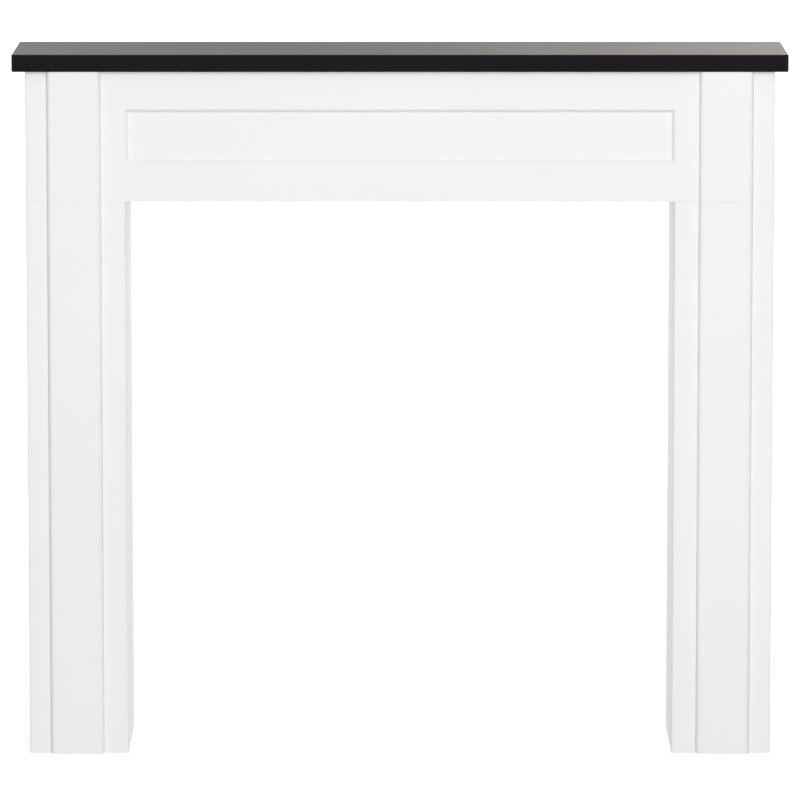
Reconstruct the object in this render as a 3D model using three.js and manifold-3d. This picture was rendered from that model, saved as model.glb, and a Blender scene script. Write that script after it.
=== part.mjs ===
// A fireplace mantelpiece in painted MDF: two boxed legs carry a boxed header with a sunk panel,
// and a plain black shelf lies on top. Pilaster plates are planted on the legs and on the header.
// Millimetres, +Z up. The front faces -Y. The origin is on the floor, midway between the shelf's
// ends and midway between the shelf's front edge and the wall. Left and right are as seen from the front.
import * as THREE from "three";
import { mergeVertices } from "three/addons/utils/BufferGeometryUtils.js";
import Module from "manifold-3d";

const wasm = await Module();
wasm.setup();

// Driving dimensions
const TOTAL_HEIGHT = 906;
const SHELF = { width: 990, depth: 190, thickness: 22 };
const FRONT_OVERHANG = 2; // of the shelf, past the pilasters
const END_OVERHANG = 17; // of the shelf, past the legs at each side
const HEADER_HEIGHT = 167;
const BOARD = 18; // thickness of the leg and header boards
const PLATE = 6; // thickness of the pilaster plates
const PLATE_ROUND = 5; // radius of the plates' long edges
const OUTER_MARGIN = 27; // leg front left bare outside its pilaster
const PILASTER_WIDTH = 69;
const INNER_MARGIN = 31; // leg front left bare between its pilaster and the opening
const PANEL = { height: 69, depth: 4.5, slope: 4 }; // the height is measured on the header's face
const ARRIS = 1.5; // radius of the eased edges
const ARC_STEPS = 4; // facets in each eased or rounded edge
const JOINT = 0.3; // gap at each mitre and where the header stands on the legs

// Planes and levels that follow from them
const wallY = SHELF.depth / 2;
const pilasterY = FRONT_OVERHANG - SHELF.depth / 2;
const frontY = pilasterY + PLATE;
const sideX = SHELF.width / 2 - END_OVERHANG;
const legWidth = OUTER_MARGIN + PILASTER_WIDTH + INNER_MARGIN;
const openingX = sideX - legWidth;
const shelfZ = TOTAL_HEIGHT - SHELF.thickness;
const legTopZ = shelfZ - HEADER_HEIGHT;
const headerZ = legTopZ + JOINT;
const headerRise = shelfZ - headerZ;

const whitePaint = new THREE.MeshStandardMaterial({ color: 0xf1f1ef, roughness: 0.42, metalness: 0 });
const blackLacquer = new THREE.MeshStandardMaterial({ color: 0x1b1a1c, roughness: 0.38, metalness: 0 });

const EIGHTH_TURN = Math.PI / 4;
const [MITRED, SQUARE, ROUNDED] = ["mitred", "square", "rounded"];

// Outline, seen from above, of a board whose face runs from start to finish, with its thickness on
// the left of that run. A mitred end is cut at 45 degrees and has half of the corner's eased edge,
// a rounded end is square with a rounded edge of its own, and a square end is left sharp.
function boardOutline([x0, y0], [x1, y1], thickness, startEnd, finishEnd) {
  const start = new THREE.Vector2(x0, y0);
  const finish = new THREE.Vector2(x1, y1);
  const along = finish.clone().sub(start).normalize();
  const inward = new THREE.Vector2(-along.y, along.x);
  const faceAngle = Math.atan2(-inward.y, -inward.x);
  const sweep = { [MITRED]: EIGHTH_TURN, [ROUNDED]: 2 * EIGHTH_TURN };
  const radius = { [MITRED]: ARRIS, [ROUNDED]: PLATE_ROUND };
  const outline = new THREE.Shape();

  // Corner of the face at one end. The sign is 1 where the board runs on from it and -1 where it stops.
  const faceCorner = (point, end, sign) => {
    const gap = end === MITRED ? JOINT / Math.SQRT2 : 0;
    return point.clone().addScaledVector(along, sign * gap);
  };
  const backCorner = (corner, end, sign) => {
    const setback = end === MITRED ? thickness : 0;
    return corner.clone().addScaledVector(inward, thickness).addScaledVector(along, sign * setback);
  };
  const arcCentre = (corner, end, sign) =>
    corner.clone().addScaledVector(inward, radius[end]).addScaledVector(along, sign * radius[end]);

  const first = faceCorner(start, startEnd, 1);
  const last = faceCorner(finish, finishEnd, -1);
  const firstBack = backCorner(first, startEnd, 1);
  const lastBack = backCorner(last, finishEnd, -1);
  outline.moveTo(lastBack.x, lastBack.y);
  outline.lineTo(firstBack.x, firstBack.y);
  if (startEnd === SQUARE) {
    outline.lineTo(first.x, first.y);
  } else {
    const centre = arcCentre(first, startEnd, 1);
    outline.absarc(centre.x, centre.y, radius[startEnd], faceAngle - sweep[startEnd], faceAngle, false);
  }
  if (finishEnd === SQUARE) {
    outline.lineTo(last.x, last.y);
  } else {
    const centre = arcCentre(last, finishEnd, -1);
    outline.absarc(centre.x, centre.y, radius[finishEnd], faceAngle, faceAngle + sweep[finishEnd], false);
  }
  outline.closePath();
  return outline;
}

function piece(name, geometry, material) {
  const mesh = new THREE.Mesh(geometry, material);
  mesh.name = name;
  return mesh;
}

// An upright piece: an outline seen from above, raised from one level through a height.
function upright(name, outline, bottomZ, height) {
  const geometry = new THREE.ExtrudeGeometry(outline, {
    depth: height,
    bevelEnabled: false,
    curveSegments: ARC_STEPS,
  });
  geometry.translate(0, 0, bottomZ);
  return piece(name, geometry, whitePaint);
}

// The three boards of a boxed front, open at the back: a front board with a return at each side,
// mitred at both corners.
function boxedFront(names, left, right, bottomZ, height) {
  const front = boardOutline([left, frontY], [right, frontY], BOARD, MITRED, MITRED);
  const leftReturn = boardOutline([left, wallY], [left, frontY], BOARD, SQUARE, MITRED);
  const rightReturn = boardOutline([right, frontY], [right, wallY], BOARD, MITRED, SQUARE);
  return [
    upright(names.front, front, bottomZ, height),
    upright(names.leftReturn, leftReturn, bottomZ, height),
    upright(names.rightReturn, rightReturn, bottomZ, height),
  ];
}

// A pilaster plate on the front boards. The side is -1 on the left and 1 on the right.
function pilasterPlate(name, side, bottomZ, height) {
  const middle = side * (sideX - OUTER_MARGIN - PILASTER_WIDTH / 2);
  const left = [middle - PILASTER_WIDTH / 2, pilasterY];
  const right = [middle + PILASTER_WIDTH / 2, pilasterY];
  return upright(name, boardOutline(left, right, PLATE, ROUNDED, ROUNDED), bottomZ, height);
}

function leg(side) {
  const word = side < 0 ? "left" : "right";
  const [left, right] = side < 0 ? [-sideX, -openingX] : [openingX, sideX];
  const outer = `${word}_leg_outer_return`;
  const inner = `${word}_leg_inner_return`;
  const names = {
    front: `${word}_leg_front`,
    leftReturn: side < 0 ? outer : inner,
    rightReturn: side < 0 ? inner : outer,
  };
  const group = new THREE.Group();
  group.add(...boxedFront(names, left, right, 0, legTopZ));
  group.add(pilasterPlate(`${word}_leg_pilaster`, side, 0, legTopZ));
  return group;
}

function solidOf(geometry) {
  const bare = geometry.clone();
  bare.deleteAttribute("normal");
  bare.deleteAttribute("uv");
  const merged = mergeVertices(bare);
  return new wasm.Manifold(
    new wasm.Mesh({
      numProp: 3,
      vertProperties: merged.attributes.position.array,
      triVerts: new Uint32Array(merged.index.array),
    }),
  );
}

function geometryOf(solid) {
  const { vertProperties, triVerts } = solid.getMesh();
  const geometry = new THREE.BufferGeometry();
  geometry.setAttribute("position", new THREE.BufferAttribute(vertProperties, 3));
  geometry.setIndex(new THREE.BufferAttribute(triVerts, 1));
  return geometry;
}

// The panel is as wide as the opening below it, sunk into the header's face with sloping sides that
// meet in sharp corners, and stands midway up the header.
function sinkPanel(headerFront) {
  const [x, y] = [openingX - PANEL.slope, PANEL.height / 2 - PANEL.slope];
  const corners = [[-x, -y], [x, -y], [x, y], [-x, y]];
  const sunkFace = new THREE.Shape(corners.map(([across, up]) => new THREE.Vector2(across, up)));
  const cutter = new THREE.ExtrudeGeometry(sunkFace, {
    depth: BOARD, // the cutter stands this far out of the face
    bevelThickness: PANEL.depth,
    bevelSize: PANEL.slope,
    bevelSegments: 1,
  });
  cutter.rotateX(Math.PI / 2);
  cutter.translate(0, frontY, headerZ + headerRise / 2);
  headerFront.geometry = geometryOf(solidOf(headerFront.geometry).subtract(solidOf(cutter)));
}

function header() {
  const names = {
    front: "header_front",
    leftReturn: "header_left_return",
    rightReturn: "header_right_return",
  };
  const boards = boxedFront(names, -sideX, sideX, headerZ, headerRise);
  sinkPanel(boards[0]);
  const insideX = sideX - BOARD;
  const insideY = frontY + BOARD;
  const soffit = boardOutline([-insideX, insideY], [insideX, insideY], wallY - insideY, SQUARE, SQUARE);
  const group = new THREE.Group();
  group.add(...boards);
  group.add(upright("header_soffit", soffit, headerZ, BOARD));
  group.add(pilasterPlate("header_left_block", -1, headerZ, headerRise));
  group.add(pilasterPlate("header_right_block", 1, headerZ, headerRise));
  return group;
}

function roundedRectangle(width, height, radius) {
  const [x, y] = [width / 2, height / 2];
  const outline = new THREE.Shape();
  outline.absarc(x - radius, y - radius, radius, 0, Math.PI / 2, false);
  outline.absarc(radius - x, y - radius, radius, Math.PI / 2, Math.PI, false);
  outline.absarc(radius - x, radius - y, radius, Math.PI, 1.5 * Math.PI, false);
  outline.absarc(x - radius, radius - y, radius, 1.5 * Math.PI, 2 * Math.PI, false);
  outline.closePath();
  return outline;
}

// The shelf is one board with every edge eased.
function shelf() {
  const outline = roundedRectangle(SHELF.width - 2 * ARRIS, SHELF.depth - 2 * ARRIS, ARRIS);
  const geometry = new THREE.ExtrudeGeometry(outline, {
    depth: SHELF.thickness - 2 * ARRIS,
    bevelThickness: ARRIS,
    bevelSize: ARRIS,
    bevelSegments: ARC_STEPS,
    curveSegments: ARC_STEPS,
  });
  geometry.translate(0, 0, shelfZ + ARRIS);
  return piece("shelf", geometry, blackLacquer);
}

const mantelpiece = new THREE.Group();
mantelpiece.add(leg(-1), leg(1), header(), shelf());

export default mantelpiece;
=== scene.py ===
import math
import bmesh
import bpy
from mathutils import Matrix, Vector


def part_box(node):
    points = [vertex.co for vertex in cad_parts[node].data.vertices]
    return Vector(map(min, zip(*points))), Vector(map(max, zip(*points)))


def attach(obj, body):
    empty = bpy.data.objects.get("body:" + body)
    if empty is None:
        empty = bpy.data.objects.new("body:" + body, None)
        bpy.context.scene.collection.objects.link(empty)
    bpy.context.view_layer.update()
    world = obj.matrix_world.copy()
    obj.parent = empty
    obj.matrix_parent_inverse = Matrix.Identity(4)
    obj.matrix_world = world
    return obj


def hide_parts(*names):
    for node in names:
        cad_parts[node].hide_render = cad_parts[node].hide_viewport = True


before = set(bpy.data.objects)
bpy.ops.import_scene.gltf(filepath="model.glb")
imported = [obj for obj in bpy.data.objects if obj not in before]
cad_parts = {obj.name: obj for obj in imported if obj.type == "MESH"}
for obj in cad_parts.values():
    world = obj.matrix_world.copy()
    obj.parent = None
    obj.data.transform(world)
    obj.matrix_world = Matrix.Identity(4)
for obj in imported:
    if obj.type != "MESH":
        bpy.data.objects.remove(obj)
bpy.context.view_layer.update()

# Leg boards
# Each leg is a box open at the back: a front board and two returns of 18 mm MDF, mitred and glued at the
# corners. The faces that show and the ends are sprayed satin white. The inside and back edges are left raw.

BOARD_ARRIS = 0.0015  # radius of the corners
BOARD_END_EASE = 0.0003
MITRE_HAIRLINE = 0.00006  # how far each mitred end stops short
ARC_STEPS = 6
QUARTER_TURN = math.pi / 2
CREASE_ANGLE = math.radians(40)
FACE, EASED_EDGE, RAW_FACE, SAWN_EDGE = range(4)
MITRED, SQUARE, ROUNDED = "mitred", "square", "rounded"
PAINT_SIDE = "paint_side"  # 1 at a mesh's painted sides, 0 elsewhere
ORANGE_PEEL = 0.00006  # height of the ripples in sprayed paint
WHITE_MIST = (0.78, 0.77, 0.74)
DARK_FLECK = (0.16, 0.09, 0.045)


class Wire:
    """A value inside a finish. Arithmetic on it adds Math nodes.
    wire["Y"] is another output of the node it comes from."""

    def __init__(self, finish, socket):
        self.finish = finish
        self.socket = socket

    def __getitem__(self, output):
        return Wire(self.finish, self.socket.node.outputs[output])

    def math(self, operation, *values):
        return self.finish.node("ShaderNodeMath", {"operation": operation}, dict(enumerate(values)))

    def __add__(self, other):
        return self.math("ADD", self, other)

    def __sub__(self, other):
        return self.math("SUBTRACT", self, other)

    def __rsub__(self, other):
        return self.math("SUBTRACT", other, self)

    def __mul__(self, other):
        return self.math("MULTIPLY", self, other)

    __radd__ = __add__
    __rmul__ = __mul__


class Finish:
    """The nodes of a material, or of the room's light, around one shader."""

    def __init__(self, owner, shader="Principled BSDF"):
        owner.use_nodes = True
        self.tree = owner.node_tree
        self.shader = self.tree.nodes[shader]

    def feed(self, node, sockets):
        for key, value in sockets.items():
            if isinstance(key, int):
                socket = node.inputs[key]
            else:
                socket = next(s for s in node.inputs if s.enabled and s.name == key)
            if isinstance(value, Wire):
                self.tree.links.new(value.socket, socket)
            elif socket.type == "RGBA":
                socket.default_value = (*value, 1.0)
            else:
                socket.default_value = value

    def node(self, kind, settings, sockets):
        made = self.tree.nodes.new(kind)
        for key, value in settings.items():
            setattr(made, key, value)
        self.feed(made, sockets)
        return Wire(self, next(s for s in made.outputs if s.enabled))

    def place(self):
        return self.node("ShaderNodeTexCoord", {}, {})["Object"]

    def axes(self, vector):
        return self.node("ShaderNodeSeparateXYZ", {}, {"Vector": vector})

    def noise(self, place, scale, detail=2.0, roughness=0.5):
        sockets = {"Vector": place, "Scale": scale, "Detail": detail, "Roughness": roughness}
        return self.node("ShaderNodeTexNoise", {}, sockets)

    def stretched(self, place, stretch):
        return self.node("ShaderNodeVectorMath", {"operation": "MULTIPLY"}, {0: place, 1: stretch})

    def ramp(self, value, zero_at, one_at):
        sockets = {"Value": value, "From Min": zero_at, "From Max": one_at}
        return self.node("ShaderNodeMapRange", {"interpolation_type": "SMOOTHSTEP"}, sockets)

    def blend(self, mask, below, above):
        return self.node("ShaderNodeMix", {"data_type": "RGBA"}, {"Factor": mask, "A": below, "B": above})

    def bump(self, height, distance):
        return self.node("ShaderNodeBump", {}, {"Height": height, "Distance": distance})

    def surface(self, **sockets):
        self.feed(self.shader, {key.replace("_", " "): value for key, value in sockets.items()})


def satin_white(name, full, thin, thin_share):
    """Sprayed paint: a fine orange peel, a little grit, and a coat that is thinner in soft patches."""
    material = bpy.data.materials.new(name)
    finish = Finish(material)
    place = finish.place()
    cloud = finish.noise(place, scale=3.5, detail=3.0)
    peel = finish.noise(place, scale=320.0)
    grit = finish.noise(place, scale=1500.0, detail=1.0)
    patch = finish.ramp(finish.noise(place, scale=24.0, detail=4.0), zero_at=0.35, one_at=0.75)
    thinness = finish.ramp(cloud + patch * (0.2 * thin_share), zero_at=0.25, one_at=1.0)
    finish.surface(
        Base_Color=finish.blend(thinness, full, thin),
        Roughness=0.40 + cloud * 0.08 + grit * 0.06,
        Specular_IOR_Level=0.4,
        Normal=finish.bump(peel + grit * 0.35, ORANGE_PEEL),
    )
    return material


def raw_mdf(name, pale, dark, overspray, fibre_bump, fibre_stretch):
    """Bare board: matted fibre with dark flecks. A ragged mist of paint fades out from its painted side."""
    material = bpy.data.materials.new(name)
    finish = Finish(material)
    place = finish.place()
    mottle = finish.noise(place, scale=9.0, detail=4.0, roughness=0.6)
    fibre = finish.noise(finish.stretched(place, fibre_stretch), scale=420.0, detail=3.0, roughness=0.65)
    fleck = finish.ramp(finish.noise(place, scale=650.0, detail=1.0), zero_at=0.64, one_at=0.76)
    ragged = finish.noise(place, scale=240.0, detail=4.0, roughness=0.7)
    paint_side = finish.node("ShaderNodeAttribute", {"attribute_name": PAINT_SIDE}, {})["Fac"]
    mist = finish.ramp(paint_side + ragged * 0.5, zero_at=0.95, one_at=1.5)
    board = finish.blend(mottle * 0.5 + fibre * 0.5, dark, pale)
    flecked = finish.blend(fleck * 0.35, board, DARK_FLECK)
    finish.surface(
        Base_Color=finish.blend(mist * 0.85, flecked, overspray),
        Roughness=0.95 - mist * 0.2 - fleck * 0.1,
        Specular_IOR_Level=0.2,
        Normal=finish.bump(fibre + ragged * 0.2, fibre_bump),
    )
    return material


board_finishes = [  # in the order of FACE, EASED_EDGE, RAW_FACE and SAWN_EDGE
    satin_white(
        "satin_white",
        full=(0.82, 0.82, 0.815),
        thin=(0.795, 0.795, 0.787),
        thin_share=0.4,
    ),
    # The eased edges, the ends and the plates' sides take a darker white: partly a thinner coat, partly
    # painted shade that deepens the lines along the plates.
    satin_white(
        "satin_white_on_edges_and_painted_shade",
        full=(0.80, 0.80, 0.795),
        thin=(0.755, 0.752, 0.745),
        thin_share=1.0,
    ),
    raw_mdf(
        "raw_mdf_face",
        pale=(0.52, 0.345, 0.20),
        dark=(0.40, 0.25, 0.135),
        overspray=WHITE_MIST,
        fibre_bump=0.0001,
        fibre_stretch=(1.0, 1.0, 0.5),
    ),
    raw_mdf(
        "raw_mdf_sawn",
        pale=(0.46, 0.295, 0.165),
        dark=(0.31, 0.185, 0.095),
        overspray=WHITE_MIST,
        fibre_bump=0.0003,
        fibre_stretch=(1.0, 1.0, 0.15),
    ),
]


def arc(centre, radius, first_angle, last_angle):
    """Points along an arc, with both its ends."""
    angles = [first_angle + (last_angle - first_angle) * i / ARC_STEPS for i in range(ARC_STEPS + 1)]
    return [centre + radius * Vector((math.cos(a), math.sin(a))) for a in angles]


def board_outline(start, finish, thickness, start_end, finish_end, arris=BOARD_ARRIS):
    """Points round a board seen from above, each with the finish of the side that runs on from it.
    The face runs from start to finish, with the thickness on its left and the arris as the radius at
    its ends."""
    start, finish = Vector(start), Vector(finish)
    along = (finish - start).normalized()
    inward = Vector((-along.y, along.x))
    face_angle = math.atan2(-inward.y, -inward.x)
    sweep = {MITRED: QUARTER_TURN / 2, ROUNDED: QUARTER_TURN}
    ends = []
    for corner, end, sign in ((start, start_end, 1), (finish, finish_end, -1)):
        mitred = end == MITRED
        corner = corner + along * sign * (MITRE_HAIRLINE if mitred else 0.0)
        back = corner + inward * thickness + along * sign * (thickness if mitred else 0.0)
        centre = corner + (inward + along * sign) * arris
        ends.append((corner, back, centre))
    (first, first_back, first_centre), (last, last_back, last_centre) = ends
    # A rounded plate's sides take the darker edge white, which is partly painted shade.
    outline = [(last_back, RAW_FACE), (first_back, EASED_EDGE if start_end == ROUNDED else SAWN_EDGE)]
    if start_end == SQUARE:
        outline.append((first, FACE))
    else:
        turn = arc(first_centre, arris, face_angle - sweep[start_end], face_angle)
        outline += [(point, EASED_EDGE) for point in turn[:-1]] + [(turn[-1], FACE)]
    if finish_end == SQUARE:
        outline.append((last, SAWN_EDGE))
    else:
        turn = arc(last_centre, arris, face_angle, face_angle + sweep[finish_end])
        outline += [(point, EASED_EDGE) for point in turn[:-1]]
        outline.append((turn[-1], EASED_EDGE if finish_end == ROUNDED else SAWN_EDGE))
    return outline


def board_mesh(outline, bottom, top, ends=EASED_EDGE):
    """A board raised from its outline. The edges of its ends are eased where they meet the painted sides."""
    bm = bmesh.new()
    paint_side = bm.verts.layers.float.new(PAINT_SIDE)
    painted = (FACE, EASED_EDGE)
    low = [bm.verts.new((p.x, p.y, bottom)) for p, _ in outline]
    high = [bm.verts.new((p.x, p.y, top)) for p, _ in outline]
    count = len(outline)
    for i, (_, kind) in enumerate(outline):
        j = (i + 1) % count
        bm.faces.new((low[i], low[j], high[j], high[i])).material_index = kind
        if kind in painted:
            for vert in (low[i], low[j], high[j], high[i]):
                vert[paint_side] = 1.0
    caps = [bm.faces.new(list(reversed(low))), bm.faces.new(high)]
    for cap in caps:
        cap.material_index = ends
    rims = [(e, f) for cap in caps for e in cap.edges for f in e.link_faces if f != cap]
    edges = [e for e, beside in rims if beside.material_index in painted]
    bmesh.ops.bevel(
        bm, geom=edges, offset=BOARD_END_EASE, offset_type="OFFSET", segments=2, profile=0.5,
        affect="EDGES", material=EASED_EDGE, clamp_overlap=True,
    )
    return bm


def piece(name, bm, finishes, node):
    """Makes the object of a finished mesh, which stands for its CAD node."""
    bmesh.ops.recalc_face_normals(bm, faces=bm.faces)
    for face in bm.faces:
        face.smooth = True
    mesh = bpy.data.meshes.new(name)
    bm.to_mesh(mesh)
    bm.free()
    mesh.set_sharp_from_angle(angle=CREASE_ANGLE)
    for material in finishes:
        mesh.materials.append(material)
    made = bpy.data.objects.new(name, mesh)
    bpy.context.scene.collection.objects.link(made)
    made.modifiers.new("flat_faces_stay_flat", "WEIGHTED_NORMAL").keep_sharp = True
    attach(made, "root")
    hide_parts(node)


def boxed_front(front_node, left_node, right_node, bottom):
    """Meshes of a front board and its two returns, mitred, from the boxes of their nodes."""
    left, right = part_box(left_node)[0].x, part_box(right_node)[1].x
    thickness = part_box(left_node)[1].x - left
    front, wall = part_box(front_node)[0].y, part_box(left_node)[1].y
    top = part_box(front_node)[1].z
    runs = {
        front_node: ((left, front), (right, front), thickness, MITRED, MITRED),
        left_node: ((left, wall), (left, front), thickness, SQUARE, MITRED),
        right_node: ((right, front), (right, wall), thickness, MITRED, SQUARE),
    }
    return {node: board_mesh(board_outline(*run), bottom, top) for node, run in runs.items()}


for side, left_part, right_part in (("left", "outer", "inner"), ("right", "inner", "outer")):
    leg_nodes = (f"{side}_leg_front", f"{side}_leg_{left_part}_return", f"{side}_leg_{right_part}_return")
    for node, bm in boxed_front(*leg_nodes, bottom=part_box(leg_nodes[0])[0].z).items():
        piece(f"{node}_board", bm, board_finishes, node)

# Pilaster plates and header blocks
# Plates of 6 mm MDF with rounded long edges, glued flat on the leg fronts, with short ones above them on the
# header. They are sprayed with the boards. The header stands on the legs, with only a hairline between them.

PLATE_ROUND = 0.005
HEADER_HAIRLINE = 0.00008

floor_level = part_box("left_leg_front")[0].z
header_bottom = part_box("left_leg_front")[1].z + HEADER_HAIRLINE
plate_bottoms = {
    "left_leg_pilaster": floor_level,
    "right_leg_pilaster": floor_level,
    "header_left_block": header_bottom,
    "header_right_block": header_bottom,
}
for node, bottom in plate_bottoms.items():
    low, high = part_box(node)
    thickness = high.y - low.y
    outline = board_outline((low.x, low.y), (high.x, low.y), thickness, ROUNDED, ROUNDED, PLATE_ROUND)
    piece(f"{node}_plate", board_mesh(outline, bottom, high.z), board_finishes, node)

# Header boards
# The header is boxed from 18 mm MDF like the legs and lies across both of them. A router sinks a long plain
# panel into the face of its front board, with sloping sides that meet in crisp corners.

PANEL_HEIGHT = 0.069
PANEL_SUNK = 0.0045
PANEL_SLOPE = 0.004  # width of the sloping sides
PANEL_LIP = 0.0006  # radius where a side leaves the face
PANEL_ROOT = 0.0008  # radius where it meets the panel
PANEL_CORNER = 0.0005


def rounded_loop(half_width, half_height, radius):
    """Points round a rectangle with rounded corners, as (across, up), counter-clockwise from the right."""
    points = []
    for turns, (sx, sy) in enumerate(((1, 1), (-1, 1), (-1, -1), (1, -1))):
        centre = Vector((sx * (half_width - radius), sy * (half_height - radius)))
        points += arc(centre, radius, turns * QUARTER_TURN, (turns + 1) * QUARTER_TURN)
    return points


def skin(bm, loops, kind):
    """Faces between each loop of points and the next one."""
    for lower, upper in zip(loops, loops[1:]):
        for i in range(len(lower)):
            j = (i + 1) % len(lower)
            bm.faces.new((lower[i], lower[j], upper[j], upper[i])).material_index = kind


def sink_panel(bm, face_y, middle_z, half_width):
    """Swaps the face of a front board for a sunk panel and the four faces that are left around it.
    A side of the panel is drawn as (inset, depth): an arc at the lip, a slope and an arc at the root."""
    face = max((f for f in bm.faces if f.material_index == FACE), key=lambda f: f.calc_area())
    corners = {(v.co.x > 0, v.co.z > middle_z): v for v in face.verts}
    bmesh.ops.delete(bm, geom=[face], context="FACES_ONLY")
    fall = math.atan2(PANEL_SUNK, PANEL_SLOPE)
    lip_centre = Vector((-PANEL_LIP * math.tan(fall / 2), PANEL_LIP))
    root_centre = Vector((PANEL_SLOPE + PANEL_ROOT * math.tan(fall / 2), PANEL_SUNK - PANEL_ROOT))
    lip = arc(lip_centre, PANEL_LIP, -QUARTER_TURN, fall - QUARTER_TURN)
    root = arc(root_centre, PANEL_ROOT, QUARTER_TURN + fall, QUARTER_TURN)
    loops = []
    for inset, depth in lip + root:
        loop = rounded_loop(half_width - inset, PANEL_HEIGHT / 2 - inset, PANEL_CORNER)
        loops.append([bm.verts.new((p.x, face_y + depth, middle_z + p.y)) for p in loop])
    skin(bm, loops[: len(lip)], EASED_EDGE)
    skin(bm, loops[len(lip) - 1 :], FACE)
    bm.faces.new(loops[-1]).material_index = FACE
    rim = loops[0]
    outer = [corners[key] for key in ((True, True), (False, True), (False, False), (True, False))]
    for k in range(len(outer)):
        first, last = [q * (ARC_STEPS + 1) + ARC_STEPS // 2 for q in (k, k + 1)]
        run = [rim[i % len(rim)] for i in range(first, last + 1)]
        bm.faces.new([outer[k], *run, outer[(k + 1) % len(outer)]]).material_index = FACE


header_nodes = ("header_front", "header_left_return", "header_right_return")
header = boxed_front(*header_nodes, bottom=header_bottom)
low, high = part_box("header_front")
half_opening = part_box("right_leg_inner_return")[0].x
sink_panel(header["header_front"], face_y=low.y, middle_z=(low.z + high.z) / 2, half_width=half_opening)
for node, bm in header.items():
    piece(f"{node}_board", bm, board_finishes, node)

# Header soffit
# A board of 18 mm MDF set between the header's ends, behind its front. Its underside closes the top of the
# opening and is sprayed white, and the rest of it is left raw.

low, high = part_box("header_soffit")
thickness = high.z - header_bottom
outline = board_outline((low.x, header_bottom), (high.x, header_bottom), thickness, SQUARE, SQUARE)
bm = board_mesh(outline, -high.y, -low.y, SAWN_EDGE)
face_down = Matrix.Rotation(QUARTER_TURN, 3, "X")
bmesh.ops.rotate(bm, cent=(0.0, 0.0, 0.0), matrix=face_down, verts=bm.verts)
piece("header_soffit_board", bm, board_finishes, "header_soffit")

# Shelf
# One board of 22 mm MDF with every edge eased, sprayed satin black and laid on the header. Only its back
# edge, which goes against the wall, is left raw, with a mist of black along its top and bottom.

SHELF_CORNER = 0.003
SHELF_ARRIS = 0.0015
BLACK_MIST = (0.012, 0.012, 0.013)
SQUARE_ON = 0.999  # least share of a flat side's normal along its axis


def satin_black(name, base, rubbed_and_highlight, rubbed_and_highlight_share):
    """Sprayed lacquer: smoother than the white, with a faint cloudiness where it was rubbed down.
    Laid on in full, the same lighter colour is a painted highlight.
    """
    material = bpy.data.materials.new(name)
    finish = Finish(material)
    place = finish.place()
    cloud = finish.noise(place, scale=5.0, detail=3.0)
    peel = finish.noise(place, scale=420.0)
    grit = finish.noise(place, scale=1700.0, detail=1.0)
    rubbing_and_highlight = finish.ramp(cloud, zero_at=0.3, one_at=0.75) * rubbed_and_highlight_share
    finish.surface(
        Base_Color=finish.blend(rubbing_and_highlight, base, rubbed_and_highlight),
        Roughness=0.32 + cloud * 0.08 + grit * 0.05,
        Specular_IOR_Level=0.05,
        Normal=finish.bump(peel + grit * 0.4, ORANGE_PEEL),
    )
    return material


black_face = satin_black(
    "satin_black", base=(0.0078, 0.0075, 0.0084), rubbed_and_highlight=(0.0100, 0.0097, 0.0108), rubbed_and_highlight_share=0.6
)
# The shelf's eased edges take the lighter colour all over: a painted highlight along its arrises.
black_edge_highlight = satin_black(
    "satin_black_on_edges_painted_highlight", base=(0.009, 0.0087, 0.0095), rubbed_and_highlight=(0.02, 0.0195, 0.02), rubbed_and_highlight_share=1.0
)
back_edge = raw_mdf(
    "raw_mdf_under_black",
    pale=(0.40, 0.26, 0.145),
    dark=(0.26, 0.155, 0.08),
    overspray=BLACK_MIST,
    fibre_bump=0.0003,
    fibre_stretch=(0.15, 1.0, 1.0),
)
shelf_finishes = [black_face, black_edge_highlight, black_face, back_edge]  # in the boards' order

low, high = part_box("shelf")
centre = (low + high) / 2
half = (high - low) / 2
lower_edge = arc(Vector((SHELF_ARRIS, low.z + SHELF_ARRIS)), SHELF_ARRIS, -QUARTER_TURN, -math.pi)
upper_edge = arc(Vector((SHELF_ARRIS, high.z - SHELF_ARRIS)), SHELF_ARRIS, math.pi, QUARTER_TURN)
core = Vector((0.0, centre.z))  # the mist on the back edge has faded out here
bm = bmesh.new()
paint_side = bm.verts.layers.float.new(PAINT_SIDE)
loops = []
for inset, level in [*lower_edge, core, *upper_edge]:
    loop = rounded_loop(half.x - inset, half.y - inset, SHELF_CORNER - inset)
    loops.append([bm.verts.new((centre.x + p.x, centre.y + p.y, level)) for p in loop])
    for vert in loops[-1]:
        vert[paint_side] = 0.0 if level == core.y else 1.0
skin(bm, loops, EASED_EDGE)
bm.faces.new(list(reversed(loops[0]))).material_index = FACE
bm.faces.new(loops[-1]).material_index = FACE
bm.normal_update()
for face in bm.faces:
    if abs(face.normal.x) > SQUARE_ON or face.normal.y < -SQUARE_ON:
        face.material_index = FACE
    elif face.normal.y > SQUARE_ON:
        face.material_index = SAWN_EDGE
piece("shelf_board", bm, shelf_finishes, "shelf")

# Floor
# A wide white sheet lit from below, more so far behind the piece, so that shadows on it stay faint. Its
# light is kept off the white boards, which take theirs from the room and the lamps.

FLOOR_REACH = 40.0
FLOOR_CORNER = 1.0
GLOW_STARTS_Y = 0.0
GLOW_FULL_Y = 3.0
NEAR_GLOW = (0.62, 0.62, 0.62)
FAR_GLOW = (0.85, 0.85, 0.85)
SHEET_PALE = (0.52, 0.52, 0.52)
SHEET_DARK = (0.48, 0.48, 0.48)

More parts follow.
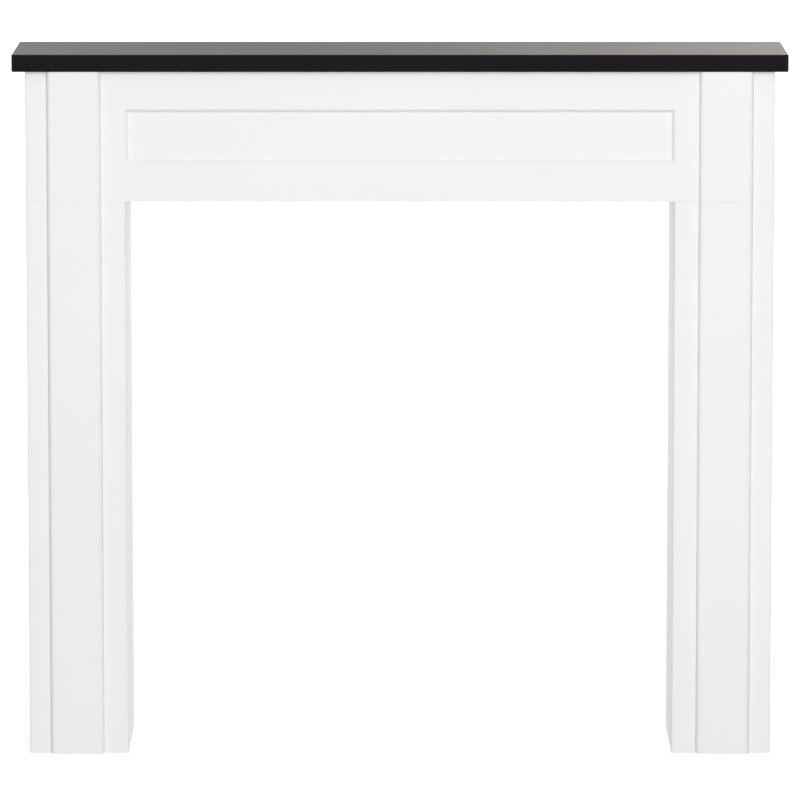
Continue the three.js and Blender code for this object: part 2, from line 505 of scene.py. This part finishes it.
white_sheet = bpy.data.materials.new("white_sheet")
finish = Finish(white_sheet)
place = finish.place()
glow = finish.ramp(finish.axes(place)["Y"], zero_at=GLOW_STARTS_Y, one_at=GLOW_FULL_Y)
finish.surface(
    Base_Color=finish.blend(finish.noise(place, scale=6.0, detail=3.0), SHEET_PALE, SHEET_DARK),
    Roughness=0.9,
    Specular_IOR_Level=0.1,
    Emission_Color=finish.blend(glow, NEAR_GLOW, FAR_GLOW),
    Emission_Strength=1.0,
)
mesh = bpy.data.meshes.new("floor")
bm = bmesh.new()
bm.faces.new([bm.verts.new((x, y, 0.0)) for x, y in rounded_loop(FLOOR_REACH, FLOOR_REACH, FLOOR_CORNER)])
bm.to_mesh(mesh)
bm.free()
mesh.materials.append(white_sheet)
floor = bpy.data.objects.new("floor", mesh)
floor.visible_diffuse = False
bpy.context.scene.collection.objects.link(floor)

# Light
# A white room, brighter behind the piece and most of all to the right, which shows in the shelf's sheen, and
# darker at both sides in front. Two wide soft lamps stand in front, one high and one level with the camera.

ROOM = 0.58
SIDES = 0.22  # added at both sides
SIDES_IN_FRONT = 0.64  # taken off at both sides, in front
BACK_WALL = 0.51
STRIP = 0.1  # a strip across the back wall, with more at its two ends
STRIP_LEFT = 0.5
STRIP_RIGHT = 2.3
STRIP_COLOUR = (1.0, 0.96, 0.92)
LAMPS_AIM = (0.0, 0.0, 0.6)

scene = bpy.context.scene
scene.view_settings.view_transform = "Standard"
world = bpy.data.worlds.new("white_room")
room = Finish(world, "Background")
direction = room.axes(room.node("ShaderNodeTexCoord", {}, {})["Generated"])
below_ceiling = room.ramp(direction["Z"], zero_at=0.85, one_at=0.35)
behind = room.ramp(direction["Y"], zero_at=-0.15, one_at=0.45)
front_half = room.ramp(direction["Y"], zero_at=0.2, one_at=-0.2)
beside = room.ramp(direction["X"] * direction["X"], zero_at=0.1, one_at=0.6)
from_left = room.ramp(direction["X"], zero_at=-0.4, one_at=-0.2)
from_right = room.ramp(direction["X"], zero_at=0.4, one_at=0.2)
strip = behind * from_left * from_right
left_end = room.ramp(direction["X"], zero_at=-0.03, one_at=-0.07)
right_end = room.ramp(direction["X"], zero_at=0.0, one_at=0.1)
sides = beside * (SIDES - front_half * SIDES_IN_FRONT)
back_wall = behind * BACK_WALL + strip * (STRIP + left_end * STRIP_LEFT + right_end * STRIP_RIGHT)
room.surface(
    Color=room.blend(strip, (1.0, 1.0, 1.0), STRIP_COLOUR),
    Strength=ROOM + sides + below_ceiling * back_wall,
)
scene.world = world

lamps = {
    "key_lamp": {"place": (0.6, -4.0, 3.0), "size": (2.8, 1.6), "power": 44.0, "in_sheen": True},
    "front_lamp": {"place": (0.48, -5.5, 1.55), "size": (3.2, 1.2), "power": 152.0, "in_sheen": False},
}
for name, lamp in lamps.items():
    light = bpy.data.lights.new(name, "AREA")
    light.shape = "RECTANGLE"
    light.size, light.size_y = lamp["size"]
    light.energy = lamp["power"]
    stand = bpy.data.objects.new(name, light)
    stand.location = lamp["place"]
    stand.rotation_euler = (Vector(LAMPS_AIM) - Vector(lamp["place"])).to_track_quat("-Z", "Y").to_euler()
    stand.visible_camera = False
    stand.visible_glossy = lamp["in_sheen"]
    scene.collection.objects.link(stand)

# Camera
# A long lens far in front of the piece and higher than its shelf, square to the front and pitched down, so
# that the top of the shelf just shows.

CAMERA_PLACE = (0.0, -8.56, 1.676)
CAMERA_PITCH = 8.16

optics = bpy.data.cameras.new("camera")
optics.sensor_width = 36.0
optics.lens = 300.1
optics.clip_end = 200.0
camera = bpy.data.objects.new("camera", optics)
camera.location = CAMERA_PLACE
camera.rotation_euler = (math.radians(90.0 - CAMERA_PITCH), 0.0, 0.0)
scene.collection.objects.link(camera)
scene.camera = camera
